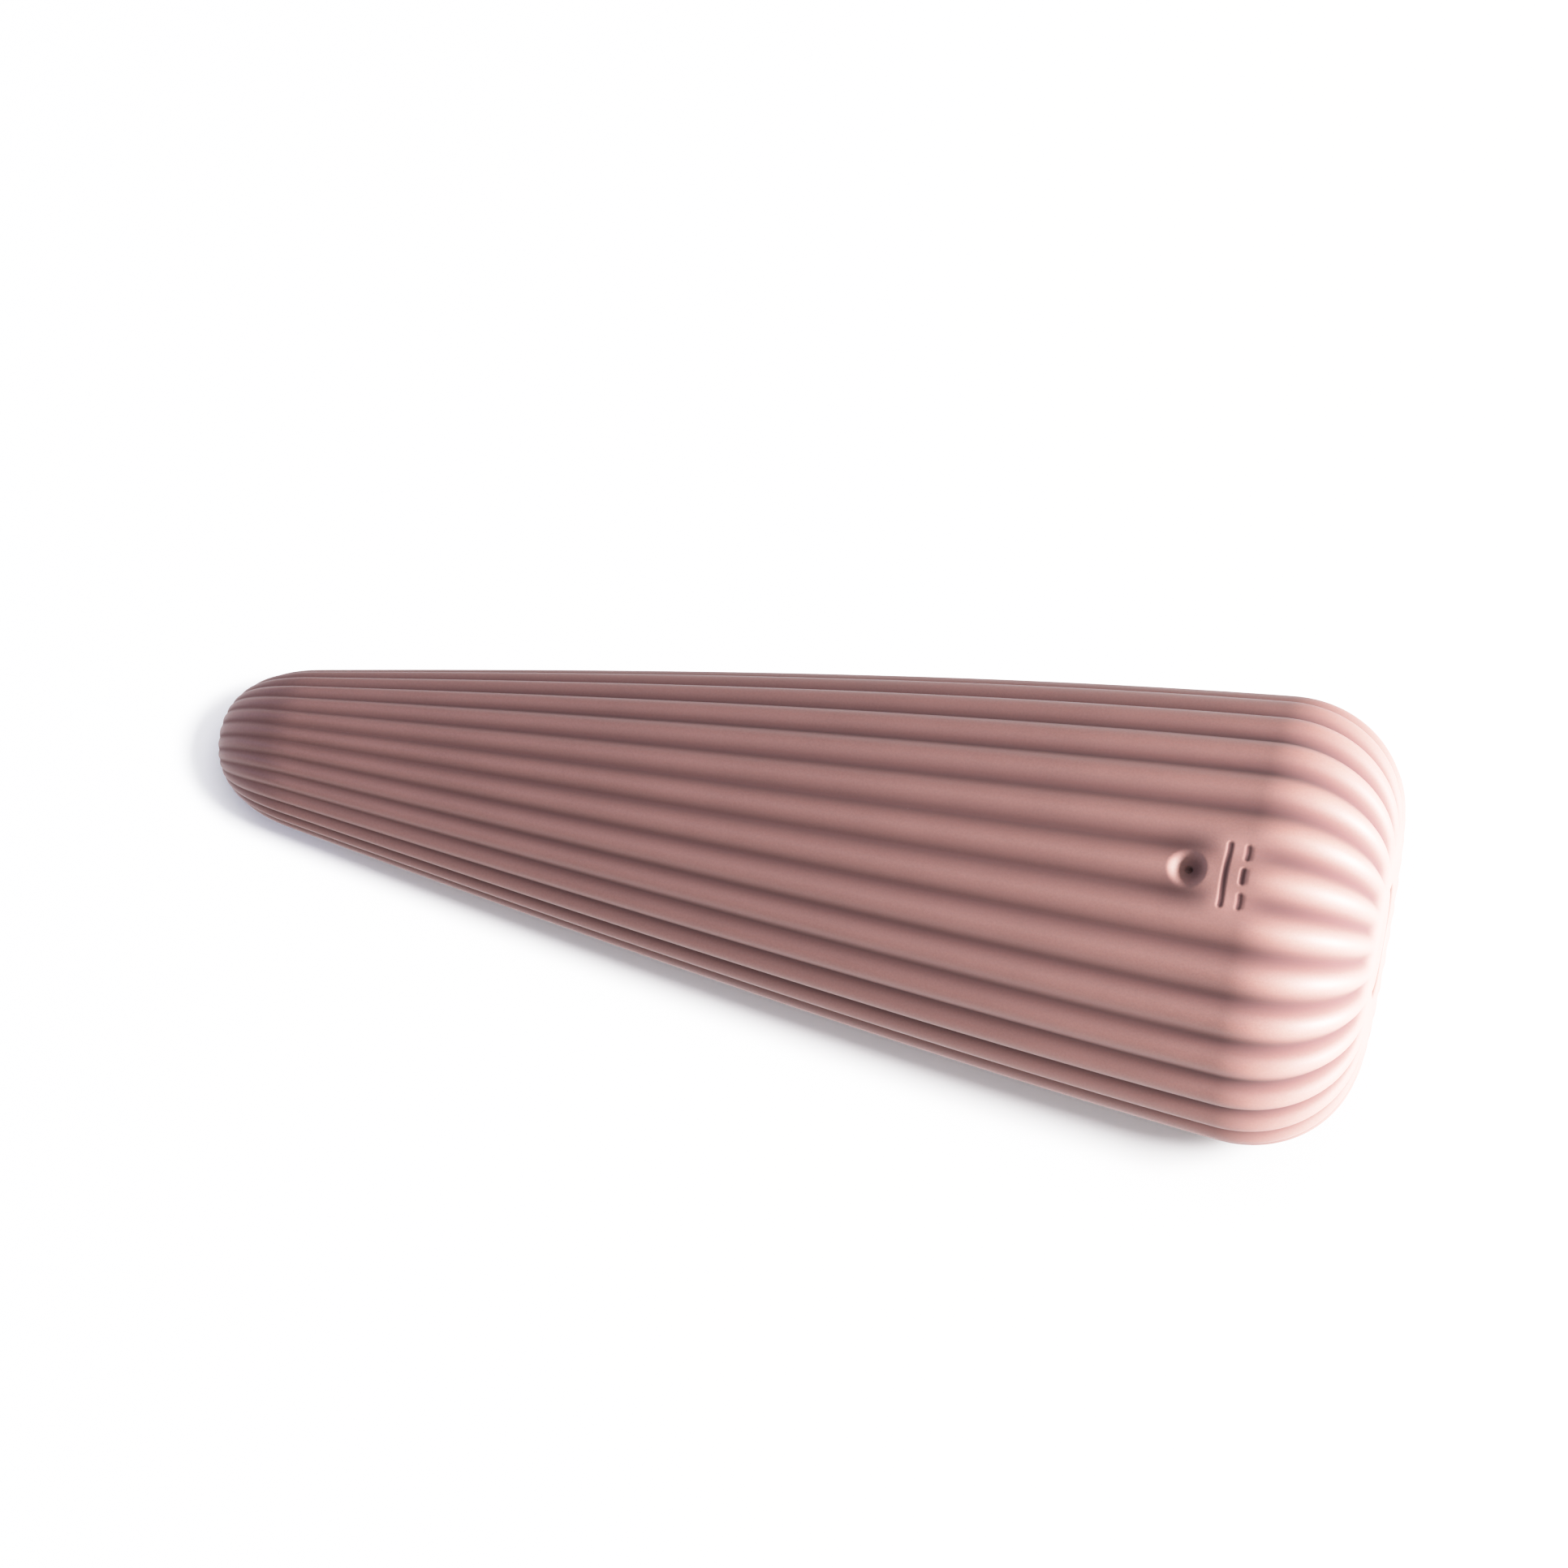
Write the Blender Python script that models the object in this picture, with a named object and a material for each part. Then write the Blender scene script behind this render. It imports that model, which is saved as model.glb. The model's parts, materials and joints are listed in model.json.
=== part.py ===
"""Ribbed hand-held massager, lying on its side with the narrow end towards -X.

Every piece is drawn in the body's own frame: X along the body from the narrow end,
Z towards the charging port. place_everything() then tilts the body onto its belly.
Profiles are lists of (distance along the axis, radius).
"""
import bpy
import bmesh
import math
from mathutils import Matrix, Vector

MM = 0.001

# Body, as shares of its length or in metres
LENGTH = 130.0 * MM
RADIUS_TERMS = (0.0554, 0.177, -0.009, -0.0265)
TIP_CAP = 0.078
TIP_POWER = 2.5
BASE_CAP = 0.107
BASE_FLAT = 0.49
REST_TILT = math.radians(7.5)

# Ribs of the sleeve
RIB_COUNT = 28
STEPS_PER_RIB = 4
RIB_DEPTH = 0.9 * MM
RIB_FADE_RADIUS = 7.0 * MM
PORT_FADE_LENGTH = 7.5 * MM
PORT_FADE_SHARE = 0.75

# Walls, each measured inwards from the rib crests
SLEEVE_INSET = 2.9 * MM
CASING_INSET = 3.2 * MM
CASING_ROOT_INSET = 4.1 * MM
INTERIOR_INSET = 5.0 * MM
SPLIT_GAP = 0.55 * MM
GASKET_HALF = 0.25 * MM
FEATURE_GAP = 0.75 * MM

# Charging port and its symbol
PORT_S = 109.8 * MM
DIMPLE_RADIUS = 2.1 * MM
DIMPLE_DEPTH = 0.7 * MM
PINHOLE_RADIUS = 0.5 * MM
SYMBOL_DEPTH = 0.35 * MM
SYMBOL_BAR_S = 113.8 * MM
SYMBOL_DASH_S = 115.7 * MM
SYMBOL_STROKE = 0.65 * MM
SYMBOL_HALF_ANGLE = math.radians(8.4)
SYMBOL_DASH_ANGLE = math.radians(2.2)
SYMBOL_STEPS = 7

# Button
BUTTON_HOLE = 6.3 * MM
BUTTON_RADIUS = 5.9 * MM
BUTTON_FACE_S = 129.5 * MM

# Motor
MOTOR_FRONT = 31.0 * MM
MOTOR_BACK = 45.0 * MM
MOTOR_RADIUS = 5.0 * MM
SHAFT_RADIUS = 0.75 * MM
BUSHING_BORE = 0.80 * MM
ROTOR_BORE = 0.85 * MM

# Battery
BATTERY_Z = -4.0 * MM
BATTERY_RADIUS = 7.1 * MM
BATTERY_FRONT = 60.0 * MM
BATTERY_BACK = 101.0 * MM

# Boards
BOARD_TOP = 6.4 * MM
BOARD_BOTTOM = 5.2 * MM
PART_BASE = 6.5 * MM
BUTTON_BOARD_S = 113.4 * MM

# Casing screws: distance along the axis, side offset
CASING_SCREWS = ((54.0, 7.2), (54.0, -7.2), (106.0, 13.6), (106.0, -13.6))
BOARD_SCREWS = ((70.0, -6.5), (98.0, 6.5))
SWITCH_SCREWS = ((8.0, -7.5), (-8.0, -7.5))

ROUND = 32
SMALL = 18
TINY = 12
CAVITY = 28
CASING_STEPS = (4, 5, 4)

COLOURS = {
    "silicone": ((0.42, 0.26, 0.22), 0.0, 0.55),
    "button_silicone": ((0.55, 0.36, 0.31), 0.0, 0.5),
    "casing": ((0.80, 0.78, 0.74), 0.0, 0.45),
    "seal": ((0.12, 0.12, 0.12), 0.0, 0.7),
    "screw_steel": ((0.55, 0.55, 0.57), 1.0, 0.35),
    "motor_steel": ((0.62, 0.62, 0.64), 1.0, 0.3),
    "end_plastic": ((0.05, 0.05, 0.06), 0.0, 0.5),
    "bronze": ((0.60, 0.42, 0.20), 1.0, 0.4),
    "magnet": ((0.10, 0.10, 0.11), 0.0, 0.6),
    "winding": ((0.72, 0.32, 0.14), 1.0, 0.35),
    "copper": ((0.80, 0.42, 0.24), 1.0, 0.3),
    "tungsten": ((0.28, 0.28, 0.30), 1.0, 0.45),
    "carbon": ((0.04, 0.04, 0.04), 0.0, 0.6),
    "damper": ((0.16, 0.17, 0.19), 0.0, 0.8),
    "cell_wrap": ((0.05, 0.22, 0.42), 0.0, 0.3),
    "cell_cap": ((0.75, 0.74, 0.70), 1.0, 0.25),
    "foam": ((0.10, 0.10, 0.11), 0.0, 0.95),
    "board": ((0.02, 0.19, 0.09), 0.0, 0.35),
    "chip": ((0.03, 0.03, 0.03), 0.0, 0.45),
    "ferrite": ((0.18, 0.18, 0.19), 0.0, 0.6),
    "capacitor": ((0.62, 0.52, 0.38), 0.0, 0.4),
    "connector": ((0.88, 0.86, 0.80), 0.0, 0.4),
    "jack_plastic": ((0.04, 0.04, 0.05), 0.0, 0.4),
    "gold": ((0.95, 0.72, 0.30), 1.0, 0.25),
    "switch_plastic": ((0.06, 0.06, 0.07), 0.0, 0.4),
    "plunger": ((0.85, 0.83, 0.78), 0.0, 0.4),
    "led_lens": ((0.90, 0.92, 0.95), 0.0, 0.15),
    "wire_red": ((0.60, 0.03, 0.02), 0.0, 0.4),
    "wire_black": ((0.02, 0.02, 0.02), 0.0, 0.4),
}


# ---------------------------------------------------------------- scene helpers

def clear_scene():
    for obj in list(bpy.data.objects):
        bpy.data.objects.remove(obj, do_unlink=True)


def make_material(name):
    colour, metallic, roughness = COLOURS[name]
    material = bpy.data.materials.get(name) or bpy.data.materials.new(name)
    material.use_nodes = True
    shader = material.node_tree.nodes["Principled BSDF"]
    shader.inputs["Base Color"].default_value = (*colour, 1.0)
    shader.inputs["Metallic"].default_value = metallic
    shader.inputs["Roughness"].default_value = roughness
    return material


def finish_mesh(mesh_data, name, material):
    """Turn a bmesh into a closed, outward-facing object."""
    bmesh.ops.recalc_face_normals(mesh_data, faces=mesh_data.faces[:])
    mesh = bpy.data.meshes.new(name)
    mesh_data.to_mesh(mesh)
    mesh_data.free()
    obj = bpy.data.objects.new(name, mesh)
    bpy.context.scene.collection.objects.link(obj)
    if material:
        mesh.materials.append(make_material(material))
    return obj


def split_large_faces(mesh):
    mesh_data = bmesh.new()
    mesh_data.from_mesh(mesh)
    large = [face for face in mesh_data.faces if len(face.verts) > 4]
    bmesh.ops.triangulate(mesh_data, faces=large)
    mesh_data.to_mesh(mesh)
    mesh_data.free()


def combine(target, tools, operation):
    """Apply one exact Boolean per tool, then remove the tools."""
    for tool in tools:
        modifier = target.modifiers.new("cut", "BOOLEAN")
        modifier.operation = operation
        modifier.solver = "EXACT"
        modifier.object = tool
        graph = bpy.context.evaluated_depsgraph_get()
        result = bpy.data.meshes.new_from_object(target.evaluated_get(graph))
        split_large_faces(result)
        target.modifiers.clear()
        old = target.data
        target.data = result
        bpy.data.meshes.remove(old)
        bpy.data.objects.remove(tool, do_unlink=True)
    return target


# ---------------------------------------------------------------- solids

def revolve(name, profile, material=None, segments=ROUND, arc=None, centre=(0.0, 0.0), closed=True):
    """Sweep a profile round the X axis. arc is (middle angle, half angle) measured from +Z."""
    mesh_data = bmesh.new()
    full = arc is None
    middle, half = arc or (0.0, math.pi)
    columns = segments if full else segments + 1
    rings = []
    for along, radius in profile:
        ring = []
        for step in range(columns):
            angle = middle - half + 2.0 * half * step / segments
            side = centre[0] + radius * math.sin(angle)
            up = centre[1] + radius * math.cos(angle)
            if radius == 0.0 and ring:
                ring.append(ring[0])
            else:
                ring.append(mesh_data.verts.new((along, side, up)))
        rings.append(ring)
    pairs = list(zip(rings, rings[1:]))
    if closed:
        pairs.append((rings[-1], rings[0]))
    for first, second in pairs:
        for step in range(segments):
            following = (step + 1) % columns
            corners = (first[step], first[following], second[following], second[step])
            unique = list(dict.fromkeys(corners))
            if len(unique) > 2:
                mesh_data.faces.new(unique)
    if not full:
        for end in (0, columns - 1):
            mesh_data.faces.new(list(dict.fromkeys(ring[end] for ring in rings)))
    return finish_mesh(mesh_data, name, material)


def solid_round(name, profile, material=None, segments=SMALL, centre=(0.0, 0.0)):
    """A solid of revolution about X whose profile starts and ends on the axis."""
    ends = [(profile[0][0], 0.0)] + list(profile) + [(profile[-1][0], 0.0)]
    return revolve(name, ends, material, segments, centre=centre, closed=False)


def ring_round(name, low, high, inner, outer, material=None, segments=SMALL, centre=(0.0, 0.0)):
    profile = ((low, outer), (high, outer), (high, inner), (low, inner))
    return revolve(name, profile, material, segments, centre=centre)


def stand_up(obj, along, side):
    """Turn a solid drawn about X so that its axis points along +Z at the given place."""
    turn = Matrix(((0, 0, -1, along), (0, 1, 0, side), (1, 0, 0, 0), (0, 0, 0, 1)))
    obj.data.transform(turn)
    return obj


def box(name, low, high, material=None, edge=0.0):
    mesh_data = bmesh.new()
    bmesh.ops.create_cube(mesh_data, size=1.0)
    for vert in mesh_data.verts:
        vert.co = Vector([low[i] + (vert.co[i] + 0.5) * (high[i] - low[i]) for i in range(3)])
    if edge:
        bmesh.ops.bevel(mesh_data, geom=mesh_data.edges[:], offset=edge, segments=2,
                        profile=0.5, affect="EDGES")
    return finish_mesh(mesh_data, name, material)


def box_mm(name, centre, size, material=None, edge=0.0):
    low = [(centre[i] - size[i] / 2.0) * MM for i in range(3)]
    high = [(centre[i] + size[i] / 2.0) * MM for i in range(3)]
    return box(name, low, high, material, edge * MM)


def wire(name, points_mm, radius_mm, material):
    """A lead along a smooth curve through the given points."""
    points = [Vector(point) * MM for point in points_mm]
    padded = [2 * points[0] - points[1]] + points + [2 * points[-1] - points[-2]]
    path = []
    for index in range(1, len(padded) - 2):
        before, start, end, after = padded[index - 1:index + 3]
        for step in range(4):
            path.append(smooth_point(before, start, end, after, step / 4.0))
    path.append(points[-1])
    curve = bpy.data.curves.new(name, "CURVE")
    curve.dimensions = "3D"
    curve.bevel_depth = radius_mm * MM
    curve.bevel_resolution = 2
    curve.use_fill_caps = True
    spline = curve.splines.new("POLY")
    spline.points.add(len(path) - 1)
    for target, place in zip(spline.points, path):
        target.co = (*place, 1.0)
    holder = bpy.data.objects.new(name, curve)
    bpy.context.scene.collection.objects.link(holder)
    graph = bpy.context.evaluated_depsgraph_get()
    mesh = bpy.data.meshes.new_from_object(holder.evaluated_get(graph))
    bpy.data.objects.remove(holder, do_unlink=True)
    mesh_data = bmesh.new()
    mesh_data.from_mesh(mesh)
    bpy.data.meshes.remove(mesh)
    bmesh.ops.remove_doubles(mesh_data, verts=mesh_data.verts[:], dist=0.001 * MM)
    return finish_mesh(mesh_data, name, material)


def smooth_point(before, start, end, after, share):
    """Catmull-Rom point between start and end."""
    square = share * share
    cube = square * share
    return 0.5 * (2.0 * start + (end - before) * share
                  + (2.0 * before - 5.0 * start + 4.0 * end - after) * square
                  + (3.0 * start - before - 3.0 * end + after) * cube)


# ---------------------------------------------------------------- body shape

def body_radius(along):
    share = along / LENGTH
    return LENGTH * sum(term * share ** power for power, term in enumerate(RADIUS_TERMS))


def body_profile(inset, steps=(6, 7, 6)):
    """Stations of the body's outline moved inwards by inset, narrow end first."""
    tip_steps, middle_steps, base_steps = steps
    tip_end = TIP_CAP * LENGTH
    base_start = LENGTH - BASE_CAP * LENGTH
    stations = []
    for step in range(tip_steps):
        angle = 0.5 * math.pi * step / tip_steps
        along = inset + (tip_end - inset) * (1.0 - math.cos(angle) ** (2.0 / TIP_POWER))
        share = math.sin(angle) ** (2.0 / TIP_POWER)
        stations.append((along, (body_radius(along) - inset) * share))
    for step in range(middle_steps):
        along = tip_end + (base_start - tip_end) * step / middle_steps
        stations.append((along, body_radius(along) - inset))
    for step in range(base_steps + 1):
        angle = 0.5 * math.pi * step / base_steps
        along = base_start + (LENGTH - inset - base_start) * math.sin(angle)
        share = BASE_FLAT + (1.0 - BASE_FLAT) * math.cos(angle)
        stations.append((along, (body_radius(along) - inset) * share))
    return stations


def groove_depth(along, radius, rib_angle):
    """Depth of the grooves: shallow at the two ends and beside the charging port."""
    flat_radius = body_radius(LENGTH) * BASE_FLAT
    depth = RIB_DEPTH * min(1.0, radius / RIB_FADE_RADIUS)
    if along > (1.0 - BASE_CAP) * LENGTH:
        depth *= min(1.0, (radius - flat_radius) / (0.25 * flat_radius))
    distance = abs(along - 0.5 * (PORT_S + SYMBOL_DASH_S)) / PORT_FADE_LENGTH
    if abs(rib_angle) < 2.0 * math.pi / RIB_COUNT and distance < 1.0:
        depth *= 1.0 - PORT_FADE_SHARE * math.cos(0.5 * math.pi * distance)
    return max(depth, 0.0)


def rib_ring(mesh_data, along, radius):
    """One ring of the ribbed outside, with a crest facing the charging port side."""
    ring = []
    for step in range(RIB_COUNT * STEPS_PER_RIB):
        angle = 2.0 * math.pi * step / (RIB_COUNT * STEPS_PER_RIB)
        signed = math.remainder(angle, 2.0 * math.pi)
        dip = 1.0 - abs(math.cos(0.5 * RIB_COUNT * angle))
        reach = radius - groove_depth(along, radius, signed) * dip
        ring.append(mesh_data.verts.new((along, reach * math.sin(angle), reach * math.cos(angle))))
    return ring


def plain_ring(mesh_data, along, radius, count):
    return [mesh_data.verts.new((along, radius * math.sin(2.0 * math.pi * step / count),
                                 radius * math.cos(2.0 * math.pi * step / count)))
            for step in range(count)]


def join_rings(mesh_data, first, second):
    """Faces between two rings; the first has as many points as the second or a multiple."""
    count = len(second)
    ratio = len(first) // count
    for step in range(count):
        start = step * ratio
        edge = [first[(start + extra) % len(first)] for extra in range(ratio + 1)]
        mesh_data.faces.new(edge + [second[(step + 1) % count], second[step]])


def close_tip(mesh_data, ring, along):
    tip = mesh_data.verts.new((along, 0.0, 0.0))
    for step, vert in enumerate(ring):
        mesh_data.faces.new((vert, ring[(step + 1) % len(ring)], tip))


def make_sleeve():
    mesh_data = bmesh.new()
    count = RIB_COUNT * STEPS_PER_RIB
    outside = body_profile(0.0)
    rings = [rib_ring(mesh_data, along, radius) for along, radius in outside[1:]]
    close_tip(mesh_data, rings[0], outside[0][0])
    inner_face = LENGTH - SLEEVE_INSET
    rings.append(plain_ring(mesh_data, LENGTH, BUTTON_HOLE, count))
    rings.append(plain_ring(mesh_data, inner_face, BUTTON_HOLE, count))
    inside = body_profile(SLEEVE_INSET, CASING_STEPS)
    for along, radius in reversed(inside[1:]):
        rings.append(plain_ring(mesh_data, along, radius, CAVITY))
    for first, second in zip(rings, rings[1:]):
        join_rings(mesh_data, first, second)
    close_tip(mesh_data, rings[-1], inside[0][0])
    bmesh.ops.triangulate(mesh_data, faces=mesh_data.faces[:])
    sleeve = finish_mesh(mesh_data, "silicone_skin", "silicone")
    return combine(sleeve, [port_cutter()] + symbol_cutters(), "DIFFERENCE")


def port_cutter():
    """A bowl-shaped dimple with a pin hole through the wall under it."""
    crest = body_radius(PORT_S)
    sphere_radius = (DIMPLE_RADIUS ** 2 + DIMPLE_DEPTH ** 2) / (2.0 * DIMPLE_DEPTH)
    middle = crest - DIMPLE_DEPTH + sphere_radius
    floor = crest - 5.0 * MM
    outline = [(floor, 0.0), (floor, PINHOLE_RADIUS)]
    start = math.asin(PINHOLE_RADIUS / sphere_radius)
    steps = 8
    for step in range(steps):
        angle = start + (0.5 * math.pi - start) * step / steps
        outline.append((middle - sphere_radius * math.cos(angle), sphere_radius * math.sin(angle)))
    outline += [(middle, sphere_radius), (middle, 0.0)]
    return stand_up(revolve("port", outline, segments=SMALL, closed=False), PORT_S, 0.0)


def symbol_cutters():
    """A long bar above three short bars: the usual sign for direct current."""
    marks = [(SYMBOL_BAR_S, 0.0, SYMBOL_HALF_ANGLE)]
    spread = SYMBOL_HALF_ANGLE - SYMBOL_DASH_ANGLE
    for angle in (-spread, 0.0, spread):
        marks.append((SYMBOL_DASH_S, angle, SYMBOL_DASH_ANGLE))
    tools = []
    for along, angle, half in marks:
        crest = body_radius(along)
        ends = (along - 0.5 * SYMBOL_STROKE, along + 0.5 * SYMBOL_STROKE)
        outline = ((ends[0], crest - SYMBOL_DEPTH), (ends[0], crest + SYMBOL_DEPTH),
                   (ends[1], crest + SYMBOL_DEPTH), (ends[1], crest - SYMBOL_DEPTH))
        tools.append(revolve("mark", outline, segments=SYMBOL_STEPS, arc=(angle, half)))
    return tools


# ---------------------------------------------------------------- casing

def casing_shell():
    outside = body_profile(CASING_INSET, CASING_STEPS)
    inside = body_profile(INTERIOR_INSET, CASING_STEPS)
    outside[0] = (outside[0][0], 0.0)
    inside[0] = (inside[0][0], 0.0)
    hole = [(outside[-1][0], BUTTON_HOLE), (inside[-1][0], BUTTON_HOLE)]
    return revolve("shell", outside + hole + inside[::-1], closed=False)


def half_space(low, high):
    reach = 2.0 * LENGTH
    return box("half", (-reach, -reach, low), (reach, reach, high))


def envelope():
    outline = body_profile(CASING_ROOT_INSET, CASING_STEPS)
    outline[0] = (outline[0][0], 0.0)
    outline.append((outline[-1][0], 0.0))
    return revolve("envelope", outline, closed=False)


def plate(along_mm, thickness_mm):
    return box_mm("plate", (along_mm, 0.0, 0.0), (thickness_mm, 60.0, 60.0))


def post(along_mm, side_mm, radius_mm, low_mm, high_mm):
    """A cylinder standing along Z."""
    profile = ((low_mm * MM, radius_mm * MM), (high_mm * MM, radius_mm * MM))
    return stand_up(solid_round("post", profile), along_mm * MM, side_mm * MM)


def stepped_hole(along_mm, side_mm):
    """A screw's clearance hole with a wider recess for its head, opening downwards."""
    profile = ((-30.0, 2.15), (-5.0, 2.15), (-5.0, 1.15), (5.0, 1.15))
    hole = solid_round("hole", [(low * MM, radius * MM) for low, radius in profile])
    return stand_up(hole, along_mm * MM, side_mm * MM)


def rod(side_mm, up_mm, radius_mm, low_mm, high_mm, segments=SMALL):
    """A cylinder lying along X."""
    profile = ((low_mm * MM, radius_mm * MM), (high_mm * MM, radius_mm * MM))
    return solid_round("rod", profile, segments=segments, centre=(side_mm * MM, up_mm * MM))


def make_casing_half(name, low, high, feature_low, feature_high, features, cuts):
    half = combine(casing_shell(), [half_space(low, high)], "INTERSECT")
    frame = features[0]
    combine(frame, features[1:], "UNION")
    combine(frame, [half_space(feature_low, feature_high), envelope()], "INTERSECT")
    combine(half, [frame], "UNION")
    combine(half, cuts, "DIFFERENCE")
    half.name = name
    half.data.name = name
    half.data.materials.clear()
    half.data.materials.append(make_material("casing"))
    return half


def motor_cradle_plates():
    plates = [plate(32.4, 1.6), plate(43.6, 1.6)]
    for item in plates:
        combine(item, [rod(0.0, 0.0, 6.8, 20.0, 56.0, ROUND)], "DIFFERENCE")
    return plates


def switch_plate():
    return combine(plate(112.2, 1.4), [rod(0.0, 0.0, 8.5, 105.0, 120.0, ROUND)], "DIFFERENCE")


def battery_plates():
    plates = [plate(66.0, 1.6), plate(94.0, 1.6)]
    for item in plates:
        combine(item, [rod(0.0, BATTERY_Z / MM, 7.4, 55.0, 110.0, ROUND)], "DIFFERENCE")
    return plates


def make_lower_casing():
    features = motor_cradle_plates() + battery_plates() + [switch_plate()]
    cuts = []
    for along, side in CASING_SCREWS:
        features.append(post(along, side, 2.4, -30.0, 5.0))
        cuts.append(stepped_hole(along, side))
    for side, up in SWITCH_SCREWS:
        features.append(rod(side, up, 1.9, 107.5, 112.6))
        cuts.append(rod(side, up, 0.95, 108.4, 118.0))
    return make_casing_half("casing_lower", -60.0 * MM, -SPLIT_GAP, -60.0 * MM, -FEATURE_GAP,
                            features, cuts)


def make_upper_casing():
    features = motor_cradle_plates() + [switch_plate()]
    cuts = []
    for along, side in CASING_SCREWS:
        features.append(post(along, side, 2.4, -5.0, 30.0))
        cuts.append(post(along, side, 1.1, -5.0, 6.0))
    upper = make_casing_half("casing_upper", SPLIT_GAP, 60.0 * MM, FEATURE_GAP, 60.0 * MM,
                             features, cuts)
    bosses = []
    for along, side in BOARD_SCREWS:
        boss = post(along, side, 2.2, 6.7, 30.0)
        combine(boss, [envelope()], "INTERSECT")
        bosses.append(boss)
    combine(upper, bosses, "UNION")
    holes = [post(along, side, 0.95, 5.0, 10.5) for along, side in BOARD_SCREWS]
    holes.append(post(PORT_S / MM, 0.0, 3.9, 7.0, 30.0))
    return combine(upper, holes, "DIFFERENCE")


def make_gasket():
    gasket = combine(casing_shell(), [half_space(-GASKET_HALF, GASKET_HALF)], "INTERSECT")
    gasket.name = "casing_gasket"
    gasket.data.name = "casing_gasket"
    gasket.data.materials.clear()
    gasket.data.materials.append(make_material("seal"))
    return gasket


# ---------------------------------------------------------------- screws

def screw(name, head_mm, shank_mm, socket_mm, head_low, head_high, tip):
    """A screw about X: its head between head_low and head_high, its shank running to tip."""
    direction = 1.0 if tip > head_high else -1.0
    outer = head_low if direction > 0 else head_high
    inner = head_high if direction > 0 else head_low
    floor = outer + direction * 0.6
    profile = ((floor, 0.0), (floor, socket_mm), (outer, socket_mm), (outer, head_mm),
               (inner, head_mm), (inner, shank_mm), (tip - direction * 0.5, shank_mm),
               (tip, 0.5 * shank_mm), (tip, 0.0))
    scaled = [(along * MM, radius * MM) for along, radius in profile]
    return revolve(name, scaled, "screw_steel", 14, closed=False)


def make_screws():
    for index, (along, side) in enumerate(CASING_SCREWS, 1):
        fastener = screw(f"casing_screw_{index}", 1.85, 0.85, 0.75, -6.6, -5.2, 5.4)
        stand_up(fastener, along * MM, side * MM)
    for index, (along, side) in enumerate(BOARD_SCREWS, 1):
        fastener = screw(f"board_screw_{index}", 1.5, 0.7, 0.6, 3.7, 4.9, 9.8)
        stand_up(fastener, along * MM, side * MM)
    for index, (side, up) in enumerate(SWITCH_SCREWS, 1):
        fastener = screw(f"switch_screw_{index}", 1.6, 0.7, 0.6, 114.7, 115.9, 109.0)
        fastener.data.transform(Matrix.Translation((0.0, side * MM, up * MM)))


# ---------------------------------------------------------------- motor

def make_motor():
    front, back = MOTOR_FRONT, MOTOR_BACK
    wall = 0.5 * MM
    can = ((front, 1.75 * MM), (front, MOTOR_RADIUS), (back, MOTOR_RADIUS), (back, MOTOR_RADIUS - wall),
           (front + 0.6 * MM, MOTOR_RADIUS - wall), (front + 0.6 * MM, 1.75 * MM))
    revolve("motor_can", can, "motor_steel", 28)
    ring_round("motor_endcap", 43.7 * MM, 44.9 * MM, 1.75 * MM, 4.4 * MM, "end_plastic", 28)
    ring_round("motor_bushing_front", 30.2 * MM, 32.4 * MM, BUSHING_BORE, 1.6 * MM, "bronze", 32)
    ring_round("motor_bushing_rear", 43.5 * MM, 45.6 * MM, BUSHING_BORE, 1.6 * MM, "bronze", 32)
    magnet = ((33.0 * MM, 3.6 * MM), (33.0 * MM, 4.35 * MM), (40.6 * MM, 4.35 * MM), (40.6 * MM, 3.6 * MM))
    for index, middle in enumerate((0.5 * math.pi, -0.5 * math.pi), 1):
        revolve(f"motor_magnet_{index}", magnet, "magnet", 14, arc=(middle, math.radians(62.0)))
    for index, side in enumerate((1.0, -1.0), 1):
        box_mm(f"motor_brush_{index}", (42.1, 0.0, side * 2.75), (1.2, 1.0, 1.8), "carbon", 0.1)
    ring_round("motor_sleeve", 31.2 * MM, 44.8 * MM, 5.25 * MM, 6.5 * MM, "damper", 28)


def make_rotor():
    shaft = ((20.6 * MM, 0.6 * MM), (20.8 * MM, SHAFT_RADIUS), (46.2 * MM, SHAFT_RADIUS), (46.4 * MM, 0.6 * MM))
    solid_round("motor_shaft", shaft, "screw_steel", 32)
    armature = ((33.3, 0.85), (33.3, 2.4), (34.2, 3.3), (39.4, 3.3), (40.3, 2.4), (40.3, 0.85))
    revolve("motor_armature", [(along * MM, radius * MM) for along, radius in armature], "winding", 30)
    ring_round("motor_commutator", 41.0 * MM, 43.2 * MM, ROTOR_BORE, 1.6 * MM, "copper")
    weight = ring_round("eccentric_weight", 21.5 * MM, 28.7 * MM, ROTOR_BORE, 1.9 * MM, "tungsten")
    lobe = ((21.8 * MM, 1.4 * MM), (21.8 * MM, 4.5 * MM), (28.4 * MM, 4.5 * MM), (28.4 * MM, 1.4 * MM))
    sector = revolve("lobe", lobe, segments=18, arc=(math.pi, math.radians(84.0)))
    combine(weight, [sector], "UNION")


# ---------------------------------------------------------------- power and control

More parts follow.
